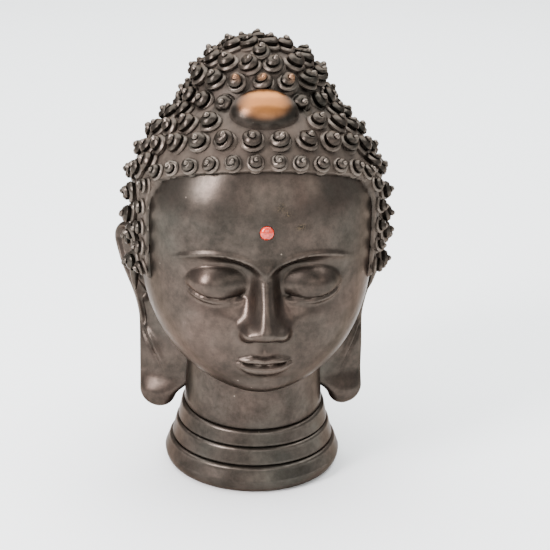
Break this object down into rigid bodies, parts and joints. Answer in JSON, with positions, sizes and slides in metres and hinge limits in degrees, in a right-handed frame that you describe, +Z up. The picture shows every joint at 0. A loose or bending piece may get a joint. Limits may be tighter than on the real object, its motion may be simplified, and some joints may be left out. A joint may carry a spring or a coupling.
{
  "type": "bronze buddha head",
  "caption": "Cast bronze Buddha head with snail-shell curls, long ears and a red forehead stone, standing on a stepped neck.",
  "frame": {"origin": "middle of the flat underside of the neck, which the head stands on", "axes": "+Z up the head, -Y the way the face looks, +X to the viewer's right of the face"},
  "size_m": [0.2118, 0.2118, 0.3319],
  "materials": {
    "bronze": "satin",
    "stone": "gloss"
  },
  "bodies": {
    "root": {"head_casting": "bronze", "forehead_stone": "stone"}
  },
  "joints": []
}
